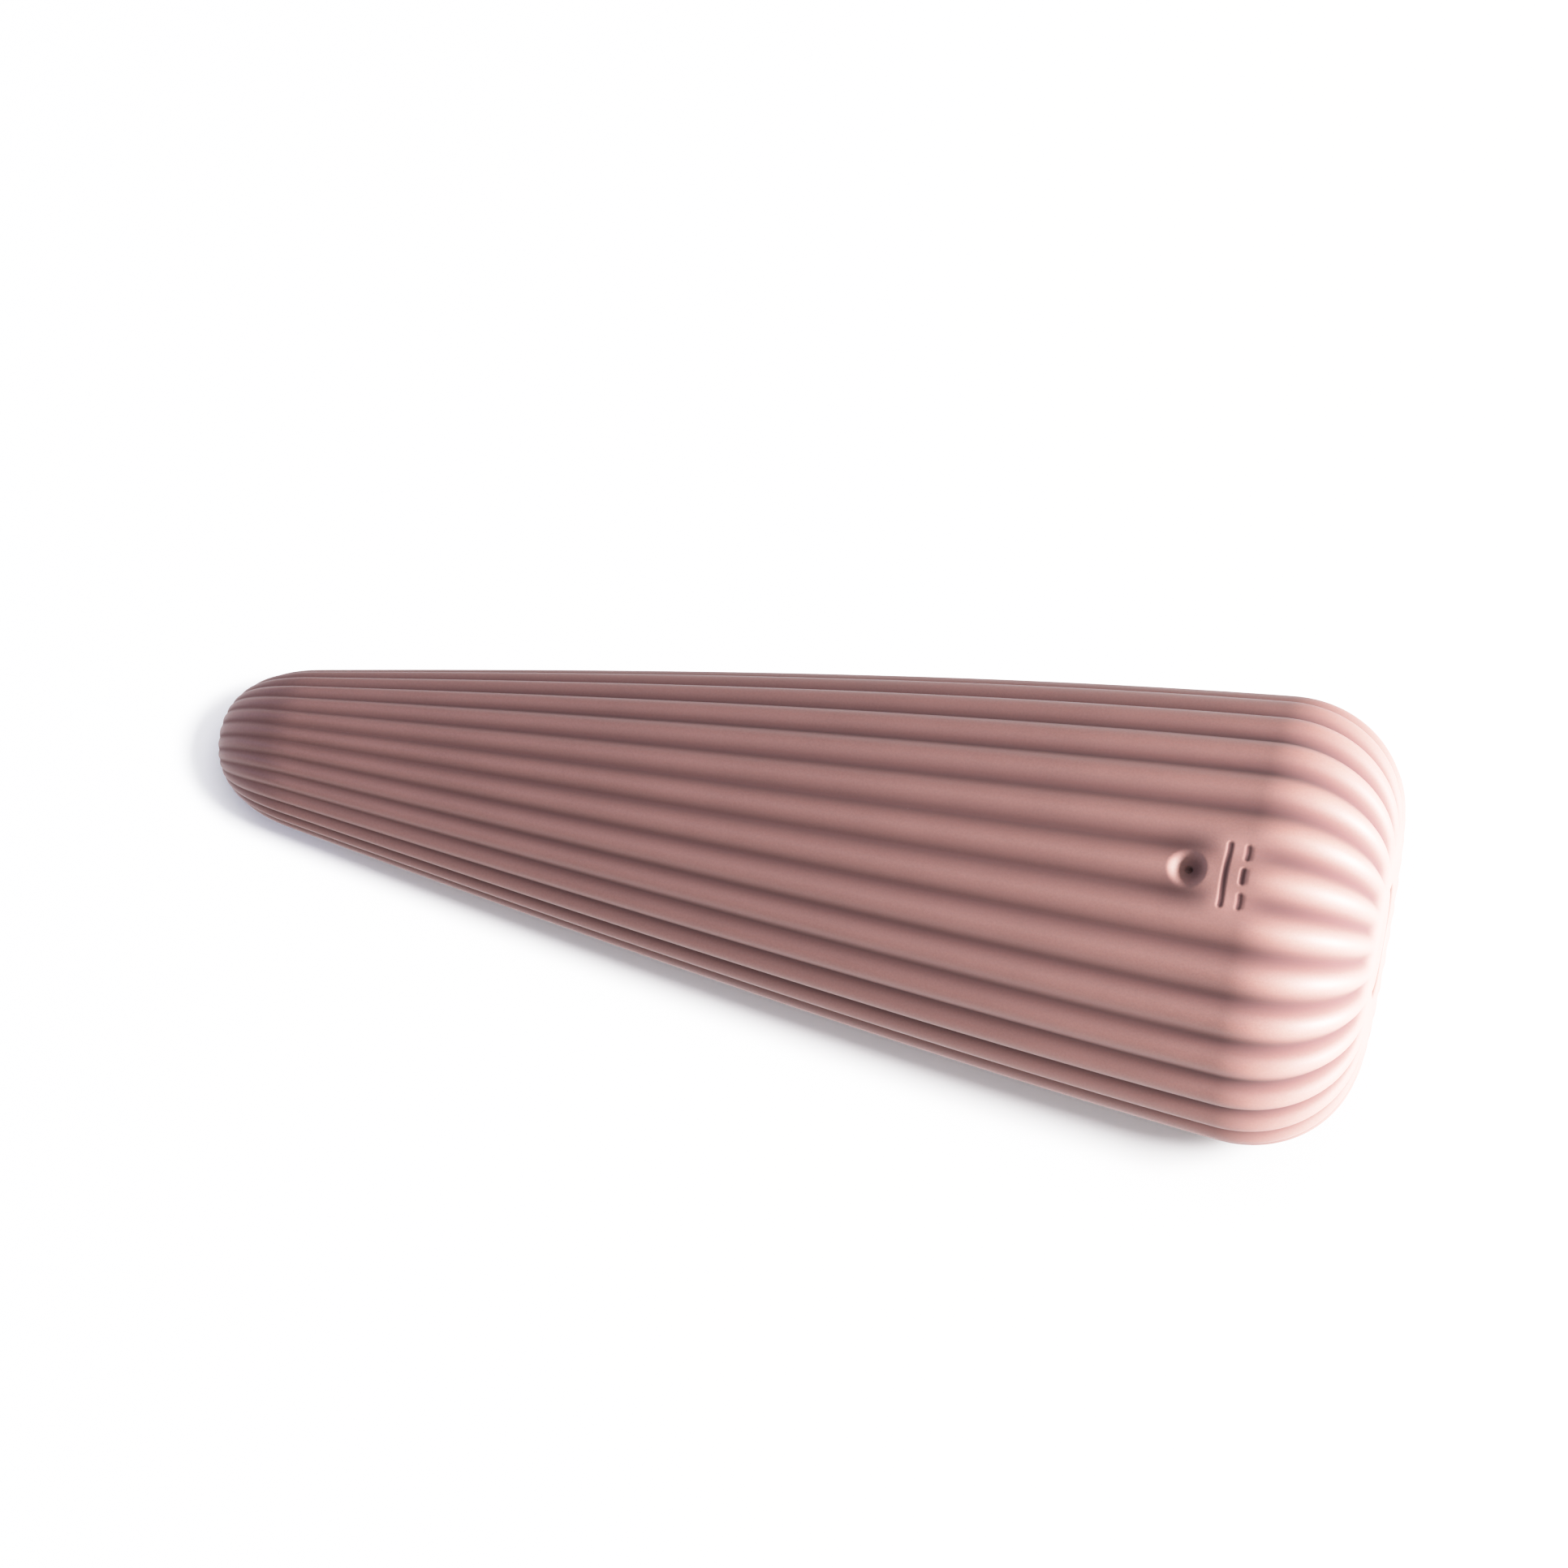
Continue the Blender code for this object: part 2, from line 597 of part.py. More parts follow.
def make_battery():
    centre = (0.0, BATTERY_Z)
    edge = 0.5 * MM
    cell = ((BATTERY_FRONT, BATTERY_RADIUS - edge), (BATTERY_FRONT + edge, BATTERY_RADIUS),
            (BATTERY_BACK - edge, BATTERY_RADIUS), (BATTERY_BACK, BATTERY_RADIUS - edge))
    solid_round("battery_cell", cell, "cell_wrap", 32, centre)
    cap = ((58.9 * MM, 2.3 * MM), (59.2 * MM, 2.6 * MM), (59.7 * MM, 2.6 * MM))
    solid_round("battery_cap", cap, "cell_cap", SMALL, centre)
    pad = ((70.0 * MM, 7.3 * MM), (70.0 * MM, 7.9 * MM), (90.0 * MM, 7.9 * MM), (90.0 * MM, 7.3 * MM))
    revolve("battery_pad", pad, "foam", 12, arc=(math.pi, math.radians(35.0)), centre=centre)


def make_boards():
    low = (62.0 * MM, -9.2 * MM, BOARD_BOTTOM)
    high = (111.0 * MM, 9.2 * MM, BOARD_TOP)
    main = box("main_board", low, high, "board")
    holes = [post(along, side, 0.95, 3.0, 8.0) for along, side in BOARD_SCREWS]
    combine(main, holes, "DIFFERENCE")
    disc = ((BUTTON_BOARD_S, 12.4 * MM), (BUTTON_BOARD_S + 1.0 * MM, 12.4 * MM))
    button_board = solid_round("button_board", disc, "board", 36)
    holes = [rod(side, up, 0.95, 110.0, 118.0) for side, up in SWITCH_SCREWS]
    combine(button_board, holes, "DIFFERENCE")


def make_board_parts():
    """Parts on the main board: centre along and across, size, material."""
    parts = {
        "control_chip": ((83.0, 4.4), (7.0, 5.2, 1.2), "chip"),
        "charge_chip": ((93.0, -4.6), (4.6, 4.0, 1.1), "chip"),
        "inductor": ((82.0, -4.6), (5.6, 5.6, 3.2), "ferrite"),
        "capacitor_1": ((88.4, -4.6), (1.8, 3.2, 1.6), "capacitor"),
        "capacitor_2": ((98.0, -4.6), (1.8, 3.2, 1.6), "capacitor"),
        "motor_connector": ((66.0, -1.0), (4.0, 4.6, 2.8), "connector"),
        "battery_connector": ((69.6, 6.0), (4.0, 4.6, 2.8), "connector"),
    }
    for name, (place, size, material) in parts.items():
        centre = (place[0], place[1], PART_BASE / MM + 0.5 * size[2])
        box_mm(name, centre, size, material, 0.2)


def make_jack():
    body = ((6.5, 0.0), (6.5, 3.3), (14.2, 3.3), (14.2, 2.6), (19.9, 2.6), (19.9, 1.3), (9.8, 1.3), (9.8, 0.0))
    jack = revolve("jack_body", [(along * MM, radius * MM) for along, radius in body],
                   "jack_plastic", SMALL, closed=False)
    pin = solid_round("jack_pin", ((9.95 * MM, 0.5 * MM), (17.6 * MM, 0.5 * MM), (18.0 * MM, 0.25 * MM)),
                      "gold", TINY)
    seal = ring_round("port_seal", 15.0 * MM, 19.4 * MM, 2.75 * MM, 3.3 * MM, "seal")
    for item in (jack, pin, seal):
        stand_up(item, PORT_S, 0.0)


def make_switch():
    box_mm("tact_switch", (116.2, 0.0, 0.0), (3.2, 6.0, 6.0), "switch_plastic", 0.3)
    plunger = ((117.95 * MM, 1.6 * MM), (119.2 * MM, 1.6 * MM), (119.4 * MM, 1.4 * MM))
    solid_round("switch_plunger", plunger, "plunger", SMALL)
    lens = ((114.6, 1.5), (115.6, 1.5), (116.3, 1.3), (116.8, 0.75), (116.95, 0.2))
    solid_round("status_led", [(along * MM, radius * MM) for along, radius in lens],
                "led_lens", SMALL, centre=(0.0, 6.4 * MM))


def make_button():
    stem = ((120.1, 1.2), (120.3, 1.4), (123.0, 1.4), (123.0, 7.2), (124.6, 7.2))
    profile = [(along * MM, radius * MM) for along, radius in stem]
    profile += [(stem[-1][0] * MM, BUTTON_RADIUS), (BUTTON_FACE_S - 0.9 * MM, BUTTON_RADIUS),
                (BUTTON_FACE_S - 0.3 * MM, BUTTON_RADIUS - 0.3 * MM),
                (BUTTON_FACE_S, BUTTON_RADIUS - 1.0 * MM), (BUTTON_FACE_S - 0.25 * MM, 3.0 * MM)]
    solid_round("button_cap", profile, "button_silicone", 28)


def make_leads():
    for index, side in enumerate((1.0, -1.0), 1):
        route = ((45.3, side * 2.6, 0.0), (48.0, side * 2.6, 0.6), (52.0, side * 2.3, 3.4),
                 (56.8, side * 1.7 - 0.5, 7.2), (60.4, side * 1.2 - 1.0, 8.4), (63.8, side * 1.2 - 1.0, 8.0))
        wire(f"motor_lead_{index}", route, 0.5, "wire_red" if side > 0 else "wire_black")
    red = ((58.5, 0.9, -4.0), (57.3, 2.2, -2.2), (57.4, 3.6, 1.5), (58.8, 5.0, 5.4),
           (61.5, 5.3, 8.2), (67.4, 5.0, 8.1))
    wire("battery_lead_1", red, 0.5, "wire_red")
    black = ((59.5, 5.4, -3.0), (58.5, 6.4, 0.2), (58.7, 7.4, 4.4), (61.2, 7.6, 8.0), (67.4, 7.0, 8.0))
    wire("battery_lead_2", black, 0.5, "wire_black")
    for index, side in enumerate((-5.2, -3.4), 1):
        route = ((113.2, side, 1.5), (111.6, side, 1.8), (110.1, side, 2.9), (109.5, side, 4.9))
        wire(f"switch_lead_{index}", route, 0.4, "wire_red" if index == 1 else "wire_black")


# ---------------------------------------------------------------- placing

def set_origin(name, point):
    """Move an object's origin, leaving its shape where it is."""
    obj = bpy.data.objects[name]
    obj.data.transform(Matrix.Translation(-Vector(point)))
    obj.location = point


def place_everything():
    """Tilt the body onto its belly, with the floor at z = 0 and its box centred on the origin."""
    set_origin("button_cap", (BUTTON_FACE_S, 0.0, 0.0))
    for name in ("motor_shaft", "motor_armature", "motor_commutator", "eccentric_weight"):
        set_origin(name, (0.5 * (MOTOR_FRONT + MOTOR_BACK), 0.0, 0.0))
    turn = Matrix.Rotation(-REST_TILT, 4, "Y")
    skin = bpy.data.objects["silicone_skin"]
    spots = [turn @ vert.co for vert in skin.data.vertices]
    low = [min(spot[axis] for spot in spots) for axis in range(3)]
    high = [max(spot[axis] for spot in spots) for axis in range(3)]
    shift = Matrix.Translation((-0.5 * (low[0] + high[0]), -0.5 * (low[1] + high[1]), -low[2]))
    for obj in bpy.data.objects:
        obj.matrix_world = shift @ turn @ Matrix.Translation(obj.location)


def build():
    clear_scene()
    make_sleeve()
    make_lower_casing()
    make_upper_casing()
    make_gasket()
    make_screws()
    make_motor()
    make_rotor()
    make_battery()
    make_boards()
    make_board_parts()
    make_jack()
    make_switch()
    make_button()
    make_leads()
    place_everything()


build()
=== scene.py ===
"""Ribbed hand-held massager on a pale floor: the fine silicone sleeve and button over the CAD frame.

A place on the body is given by its distance along the body's own axis from the narrow end (names in _S),
its distance from that axis, and an angle round it that is 0 on the side with the charging port.
"""
import json
import math

import bpy
import numpy as np
from mathutils import Matrix, Vector


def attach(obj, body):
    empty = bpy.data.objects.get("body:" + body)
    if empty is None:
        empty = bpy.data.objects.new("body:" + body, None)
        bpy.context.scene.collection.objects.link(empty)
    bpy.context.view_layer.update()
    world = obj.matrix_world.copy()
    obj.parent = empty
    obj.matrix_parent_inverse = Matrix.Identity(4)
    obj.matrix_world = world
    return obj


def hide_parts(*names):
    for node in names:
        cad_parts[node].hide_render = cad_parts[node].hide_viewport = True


MM = 0.001

# ---- body outline, the same as the CAD sleeve's
LENGTH = 130.0 * MM
RADIUS_TERMS = (0.0554, 0.177, -0.009, -0.0265)
TIP_CAP = 0.078
TIP_POWER = 2.5
BASE_CAP = 0.107
BASE_FLAT = 0.49
TIP_END = TIP_CAP * LENGTH
BASE_START = (1.0 - BASE_CAP) * LENGTH
WALL = 2.9 * MM
MOTOR_CENTRE_S = 38.0 * MM

# ---- ribs: depth by radius, softer grooves towards the base, and painted shade in the grooves, darkest towards the base
RIBS = 28
GROOVE_DEPTH_TIP = 0.12 * MM
GROOVE_DEPTH_THIN = 0.50 * MM
GROOVE_DEPTH_WIDE = 1.20 * MM
THIN_RADIUS = 6.0 * MM
WIDE_RADIUS = 24.0 * MM
GROOVE_SOFTNESS = 0.15
GROOVE_SOFTNESS_BASE = 0.36
# painted shade in the grooves: its share at the narrow end and on the body, reached at DARKER_TO
GROOVE_SHADE_TIP = 0.5
GROOVE_SHADE_BODY = 0.8
DARKER_TO = 40.0 * MM
SOFTER_FROM = 104.0 * MM
SOFTER_TO = 122.0 * MM
MEETING_DROP = 0.9
MEETING_FADE = (0.6 * MM, 3.4 * MM)
FACE_FADE_START = 11.5 * MM
FACE_FADE_END = 15.5 * MM

# ---- charging port and its sign
PORT_S = 109.8 * MM
DIMPLE_RADIUS = 2.25 * MM
DIMPLE_DEPTH = 1.40 * MM
# painted shade in the dimple: how dark, and how far its centre moves towards the base onto the wall turned from
# the light
DIMPLE_SHADE = 0.9
DIMPLE_SHADE_LEAD = 0.45 * MM
PIN_RADIUS = 0.30 * MM
PIN_DEPTH = 1.4 * MM
PIN_EDGE = 0.4
SIGN_BAR_S = 113.8 * MM
SIGN_DASH_S = 115.7 * MM
SIGN_STROKE = 0.56 * MM
SIGN_HALF_WIDTH = 3.6 * MM
SIGN_DASH_HALF = 0.92 * MM
SIGN_DEPTH = 0.11 * MM
SIGN_EDGE = 0.14 * MM
# painted shade in the sign's recessed strokes
SIGN_SHADE = 1.0
PORT_FADE_CENTRE = 112.6 * MM
PORT_FADE_LENGTH = 4.0 * MM
PORT_FADE_SHARE = 0.7

# ---- button, as distance along the body and radius
BUTTON_HOLE = 6.2 * MM
HOLE_EDGE = 0.3 * MM
BUTTON_FOOT_S = 120.1 * MM
BUTTON_TOP_S = 129.8 * MM
BUTTON_RADIUS = 5.95 * MM
BUTTON_EDGE = 0.5 * MM
BUTTON_DISH = 0.35 * MM
BUTTON_STEM = ((120.1 * MM, 0.9 * MM), (120.2 * MM, 1.3 * MM), (120.4 * MM, 1.4 * MM),
               (122.8 * MM, 1.4 * MM))
BUTTON_FLANGE = ((123.0 * MM, 1.6 * MM), (123.0 * MM, 7.0 * MM), (123.15 * MM, 7.2 * MM),
                 (124.45 * MM, 7.2 * MM), (124.6 * MM, 7.0 * MM))
BUTTON_SIDE_S = (124.6 * MM, 129.0 * MM)

# ---- mesh fineness
STEPS_PER_RIB = 14
TIP_STEPS = 56
BASE_STEPS = 46
INSIDE_STEPS = 8
EDGE_STEPS = 7
BUTTON_COLUMNS = 128
BUTTON_EDGE_STEPS = 10
BUTTON_DISH_STEPS = 16
FINE_ANGLE = math.radians(13.0)
FINE_ANGLE_STEP = math.radians(0.28)
SMALLEST_STEP = 0.3
FINE_START = 107.0 * MM
FINE_STEP = 0.13 * MM
COARSE_STEP = 1.1 * MM

# ---- camera and light
CAMERA_AZIMUTH = math.radians(-6.29)
CAMERA_ELEVATION = math.radians(79.94)
CAMERA_ROLL = math.radians(5.15)
CAMERA_DISTANCE = 0.7068
CAMERA_TARGET = Vector((0.0, 0.0, 0.020))
CAMERA_SHIFT = (1.98 * MM, -5.51 * MM)
CAMERA_LENS = 149.1
SENSOR = 36.0
CLIP_START = 0.01
FLOOR_HALF = 3.0
WORLD_COLOUR = (1.0, 0.99, 0.985, 1.0)
WORLD_STRENGTH = 0.40
WHITE = (1.0, 1.0, 1.0)
LIGHTS = {
    "window": {"place": (0.41, 0.0, 0.180), "target": (0.04, 0.0, 0.03), "size": 0.14, "power": 26.0,
               "colour": (1.0, 0.985, 0.96), "floor": "EXCLUDE"},
    "wash": {"place": (0.35, -0.02, 1.0), "target": (0.0, 0.0, 0.0), "size": 0.2, "power": 25.0,
             "colour": WHITE, "floor": "INCLUDE"},
    "overhead": {"place": (0.05, 0.03, 0.9), "target": (0.0, 0.0, 0.0), "size": 0.4, "power": 7.0,
                 "colour": WHITE, "floor": None},
    "sky": {"place": (-0.55, 0.08, 0.25), "target": (-0.06, 0.0, 0.02), "size": 0.3, "power": 1.1,
            "colour": (0.28, 0.45, 1.0), "floor": None},
    "side": {"place": (0.18, -0.17, 0.07), "target": (0.05, 0.0, 0.02), "size": 0.12, "power": 0.30,
             "colour": WHITE, "floor": "EXCLUDE"},
}
WHITE_LEVEL = 3.0
TONE_POINTS = ((0.1, 0.1), (0.2, 0.2), (0.4, 0.385), (0.8, 0.66), (1.2, 0.82), (2.0, 0.95))

# ---- silicone: its colour, the painted shade colour for its grooves, dimple and sign, and lint; scales are per metre
SILICONE = (0.158, 0.075, 0.067)
# painted shade: the darker colour mixed in by the per-point shade value
SILICONE_PAINTED_SHADE = (0.056, 0.0235, 0.024)
LINT = (0.11, 0.055, 0.06)
MOTTLE_SCALE = 55.0
UNEVEN_SCALE = 420.0
UNEVEN_HEIGHT = 0.02 * MM
GRAIN_SCALE = 4200.0
GRAIN_HEIGHT = 0.012 * MM
GRAIN_SHARE = 0.34
LINT_SCALE = 170.0
LINT_SIZE = (0.012, 0.022)

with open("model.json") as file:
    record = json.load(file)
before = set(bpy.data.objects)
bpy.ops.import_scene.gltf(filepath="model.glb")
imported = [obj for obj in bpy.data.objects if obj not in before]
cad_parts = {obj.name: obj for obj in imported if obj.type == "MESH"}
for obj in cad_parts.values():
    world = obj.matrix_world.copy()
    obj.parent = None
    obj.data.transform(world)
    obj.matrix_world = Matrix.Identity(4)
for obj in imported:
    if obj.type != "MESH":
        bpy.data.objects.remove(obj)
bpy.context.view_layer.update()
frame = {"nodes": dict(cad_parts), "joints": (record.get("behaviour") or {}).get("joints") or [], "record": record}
SPIN = next(joint for joint in frame["joints"] if joint["name"] == "motor_spin")
AXIS = Vector(SPIN["axis"]).normalized()
TIP = Vector(SPIN["pos_m"]) - AXIS * MOTOR_CENTRE_S
UP = AXIS.cross(Vector((0.0, 1.0, 0.0))).normalized()


# ---------------------------------------------------------------- shape

def crest_radius(along):
    """Radius over the ribs' crests, before the ends are rounded."""
    share = along / LENGTH
    return LENGTH * sum(term * share ** power for power, term in enumerate(RADIUS_TERMS))


def smooth_step(low, high, value):
    """0 below low, 1 above high, and a soft rise between them."""
    share = np.clip((value - low) / (high - low), 0.0, 1.0)
    return share * share * (3.0 - 2.0 * share)


def outline(inset, tip_steps, body, base_steps):
    """Stations along the body moved inwards by inset: the narrow end, the body, the rounded base."""
    stations = []
    for angle in np.linspace(0.0, 0.5 * math.pi, tip_steps, endpoint=False):
        along = inset + (TIP_END - inset) * (1.0 - math.cos(angle) ** (2.0 / TIP_POWER))
        share = math.sin(angle) ** (2.0 / TIP_POWER)
        stations.append((along, (crest_radius(along) - inset) * share))
    for along in body:
        stations.append((along, crest_radius(along) - inset))
    for angle in np.linspace(0.0, 0.5 * math.pi, base_steps):
        along = BASE_START + (LENGTH - inset - BASE_START) * math.sin(angle)
        share = BASE_FLAT + (1.0 - BASE_FLAT) * math.cos(angle)
        stations.append((along, (crest_radius(along) - inset) * share))
    return np.array(stations)


def body_stations():
    """Distances along the straight part of the body, closer together beside the port."""
    before = np.arange(TIP_END, FINE_START, COARSE_STEP)
    fine = np.arange(FINE_START, BASE_START - 0.5 * FINE_STEP, FINE_STEP)
    return np.concatenate([before, fine])


def ring_angles():
    """Angles round the body, closer together beside the port."""
    step = 2.0 * math.pi / (RIBS * STEPS_PER_RIB)
    least = SMALLEST_STEP * step
    least_fine = SMALLEST_STEP * FINE_ANGLE_STEP
    coarse = np.arange(FINE_ANGLE, 2.0 * math.pi - FINE_ANGLE - least, step)
    fine = np.arange(-FINE_ANGLE, FINE_ANGLE - least_fine, FINE_ANGLE_STEP)
    return np.concatenate([fine, coarse])


def outward_normals(stations):
    """Unit normals of the outline, as (along, outward)."""
    slope = np.gradient(stations, axis=0)
    slope[0] = (0.0, 1.0)
    normals = np.stack([-slope[:, 1], slope[:, 0]], axis=1)
    return normals / np.linalg.norm(normals, axis=1, keepdims=True)


def nearness_to_base(along):
    """0 on most of the body, rising to 1 where the base starts to round over."""
    return smooth_step(SOFTER_FROM, SOFTER_TO, along)


def groove_depth(along, radius):
    """Depth of a groove's bottom under the crests."""
    depth = GROOVE_DEPTH_TIP + (GROOVE_DEPTH_THIN - GROOVE_DEPTH_TIP) * smooth_step(0.0, TIP_END, along)
    wide = smooth_step(THIN_RADIUS, WIDE_RADIUS, radius)
    return depth + (GROOVE_DEPTH_WIDE - GROOVE_DEPTH_THIN) * wide


def groove_share(along, radius, angle):
    """How far into a groove the surface lies, 0 on a rib's crest and 1 at the groove's bottom.

    The ribs run nearly straight over the narrow end and meet on its underside. They fade out there, on
    the flat of the base and beside the port.
    """
    drop = np.where(along < TIP_END, MEETING_DROP * (crest_radius(along) - radius), 0.0)
    across = radius * np.sin(angle)
    rise = radius * np.cos(angle) + drop
    rib_angle = np.arctan2(across, rise)
    softness = GROOVE_SOFTNESS + (GROOVE_SOFTNESS_BASE - GROOVE_SOFTNESS) * nearness_to_base(along)
    wave = np.sqrt(np.cos(0.5 * RIBS * rib_angle) ** 2 + softness ** 2)
    top = np.sqrt(1.0 + softness ** 2)
    share = (top - wave) / (top - softness)
    share = share * smooth_step(*MEETING_FADE, np.hypot(across, rise))
    on_face = share * smooth_step(FACE_FADE_START, FACE_FADE_END, radius)
    share = np.where(along > BASE_START, on_face, share)
    near_port = np.exp(-((along - PORT_FADE_CENTRE) / PORT_FADE_LENGTH) ** 2)
    beside = np.abs(angle) < 2.0 * math.pi / RIBS
    return share * np.where(beside, 1.0 - PORT_FADE_SHARE * near_port, 1.0)


def groove_shade(along):
    """How much painted shade a groove's bottom gets: least at the narrow end, most at the base."""
    past_tip = smooth_step(0.0, DARKER_TO, along)
    return (GROOVE_SHADE_TIP + (GROOVE_SHADE_BODY - GROOVE_SHADE_TIP) * past_tip
            + (1.0 - GROOVE_SHADE_BODY) * nearness_to_base(along))


def bowl_share(distance):
    """1 in the middle of the dimple, falling softly to 0 at its edge."""
    return 0.5 + 0.5 * np.cos(math.pi * np.clip(distance / DIMPLE_RADIUS, 0.0, 1.0))


def port_dip(along, side):
    """Depth of the dimple and its pin hole, and its share of painted shade, which leans towards the base onto the
    wall turned from the light.
    """
    distance = np.sqrt((along - PORT_S) ** 2 + side ** 2)
    leaning = np.sqrt((along - PORT_S - DIMPLE_SHADE_LEAD) ** 2 + side ** 2)
    pin = 1.0 - smooth_step((1.0 - PIN_EDGE) * PIN_RADIUS, (1.0 + PIN_EDGE) * PIN_RADIUS, distance)
    return DIMPLE_DEPTH * bowl_share(distance) + PIN_DEPTH * pin, bowl_share(leaning)


def bar_share(along, side, centre_s, centre_side, half_width):
    """1 inside a rounded bar across the body, 0 outside it."""
    half_stroke = 0.5 * SIGN_STROKE
    reach = np.maximum(np.abs(side - centre_side) - (half_width - half_stroke), 0.0)
    distance = np.sqrt((along - centre_s) ** 2 + reach ** 2)
    return 1.0 - smooth_step(half_stroke - SIGN_EDGE, half_stroke + SIGN_EDGE, distance)


def sign_share(along, side):
    """The direct-current sign: a bar over three dashes."""
    share = bar_share(along, side, SIGN_BAR_S, 0.0, SIGN_HALF_WIDTH)
    spread = SIGN_HALF_WIDTH - SIGN_DASH_HALF
    for centre in (-spread, 0.0, spread):
        share = np.maximum(share, bar_share(along, side, SIGN_DASH_S, centre, SIGN_DASH_HALF))
    return share


def to_world(along, radius, angle):
    """Points of the body's own frame in the row frame."""
    axis, up, side = (np.array(vector) for vector in (AXIS, UP, (0.0, 1.0, 0.0)))
    across = radius * np.sin(angle)
    rise = radius * np.cos(angle)
    return (np.array(TIP) + along[..., None] * axis + across[..., None] * side + rise[..., None] * up)


def grid_faces(rows, columns):
    """Quads between successive rings that close on themselves."""
    row, column = np.meshgrid(np.arange(rows - 1), np.arange(columns), indexing="ij")
    following = (column + 1) % columns
    corners = (row * columns + column, row * columns + following,
               (row + 1) * columns + following, (row + 1) * columns + column)
    return np.stack(corners, axis=-1).reshape(-1, 4).tolist()


def mesh_object(name, points, faces, material, painted_shade=None):
    """A smooth mesh; the optional per-point value says how much painted shade the material puts on each point."""
    mesh = bpy.data.meshes.new(name)
    mesh.from_pydata(points.tolist(), [], faces)
    if painted_shade is not None:
        mesh.attributes.new("painted_shade", "FLOAT", "POINT").data.foreach_set("value", painted_shade)
    mesh.polygons.foreach_set("use_smooth", [True] * len(mesh.polygons))
    mesh.update()
    obj = bpy.data.objects.new(name, mesh)
    bpy.context.scene.collection.objects.link(obj)
    mesh.materials.append(material)
    return obj


def end_faces(ring_start, columns, middle, first):
    """Triangles from the first or the last ring to the point in its middle."""
    faces = []
    for column in range(columns):
        pair = (ring_start + column, ring_start + (column + 1) % columns)
        faces.append((*pair[::-1], middle) if first else (*pair, middle))
    return faces


def over_columns(stations, columns):
    """Each station's distance along the body and radius, repeated for every column."""
    shape = (len(stations), columns)
    return (np.broadcast_to(stations[:, 0][:, None], shape),
            np.broadcast_to(stations[:, 1][:, None], shape))


def ribbed_rings(angle):
    """The outside of the sleeve ring by ring, with how much painted shade each point gets in a groove, the dimple
    or the sign.
    """
    outside = outline(0.0, TIP_STEPS, body_stations(), BASE_STEPS)
    normals = outward_normals(outside)[1:]
    along, radius = over_columns(outside[1:], angle.size)
    signed = np.broadcast_to((angle + math.pi) % (2.0 * math.pi) - math.pi, along.shape)
    side = radius * signed
    close = (np.abs(signed) < FINE_ANGLE) & (along > FINE_START)
    groove = groove_share(along, radius, signed)
    sign = np.where(close, sign_share(along, side), 0.0)
    dimple, dimple_painted_shade = port_dip(along, side)
    dip = groove * groove_depth(along, radius) + SIGN_DEPTH * sign + np.where(close, dimple, 0.0)
    # painted shade: the grooves, the dimple's wall turned from the light and the sign's strokes
    painted_shade = np.maximum(groove * groove_shade(along), np.where(close, DIMPLE_SHADE * dimple_painted_shade, 0.0))
    painted_shade = np.maximum(painted_shade, SIGN_SHADE * sign)
    return along - dip * normals[:, 0][:, None], radius - dip * normals[:, 1][:, None], painted_shade


def plain_stations(face_radius):
    """From the flat of the base over the button hole's edge, and back along the inside to the tip."""
    start = BUTTON_HOLE + HOLE_EDGE
    stations = [(LENGTH, start + share * (face_radius - start)) for share in (0.75, 0.5, 0.25)]
    for turn in np.linspace(0.0, 0.5 * math.pi, EDGE_STEPS):
        stations.append((LENGTH - HOLE_EDGE * (1.0 - math.cos(turn)),
                         start - HOLE_EDGE * math.sin(turn)))
    stations.append((LENGTH - WALL, BUTTON_HOLE))
    body = np.linspace(TIP_END, BASE_START, INSIDE_STEPS, endpoint=False)
    inside = outline(WALL, INSIDE_STEPS, body, INSIDE_STEPS)[1:][::-1]
    return np.concatenate([np.array(stations), inside])


def build_sleeve(material):
    """The ribbed sleeve as one closed skin: outside, base, button hole and inside."""
    angle = ring_angles()[None, :]
    shell_s, shell_r, painted_shade = ribbed_rings(angle)
    face_radius = BASE_FLAT * crest_radius(LENGTH)
    plain_s, plain_r = over_columns(plain_stations(face_radius), angle.size)
    along = np.concatenate([shell_s, plain_s])
    radius = np.concatenate([shell_r, plain_r])
    rows, columns = along.shape
    rings = to_world(along, radius, np.broadcast_to(angle, along.shape)).reshape(-1, 3)
    tips = to_world(np.array([0.0, WALL]), np.zeros(2), np.zeros(2))
    points = np.concatenate([rings, tips])
    faces = grid_faces(rows, columns)
    faces += end_faces(0, columns, rows * columns, True)
    faces += end_faces((rows - 1) * columns, columns, rows * columns + 1, False)
    painted_shade = np.concatenate([painted_shade.ravel(), np.zeros(len(points) - painted_shade.size)])
    return mesh_object("sleeve", points, faces, material, painted_shade)


def button_stations():
    """The button's outline from its stem over the flange to its dished top."""
    stations = [*BUTTON_STEM, *BUTTON_FLANGE]
    stations += [(along, BUTTON_RADIUS) for along in BUTTON_SIDE_S]
    for turn in np.linspace(0.0, 0.5 * math.pi, BUTTON_EDGE_STEPS)[1:]:
        stations.append((BUTTON_TOP_S - BUTTON_EDGE + BUTTON_EDGE * math.sin(turn),
                         BUTTON_RADIUS - BUTTON_EDGE + BUTTON_EDGE * math.cos(turn)))
    for share in np.linspace(1.0, 0.0, BUTTON_DISH_STEPS, endpoint=False)[1:]:
        dish = BUTTON_DISH * (0.5 + 0.5 * math.cos(math.pi * share))
        stations.append((BUTTON_TOP_S - dish, (BUTTON_RADIUS - BUTTON_EDGE) * share))
    return np.array(stations)


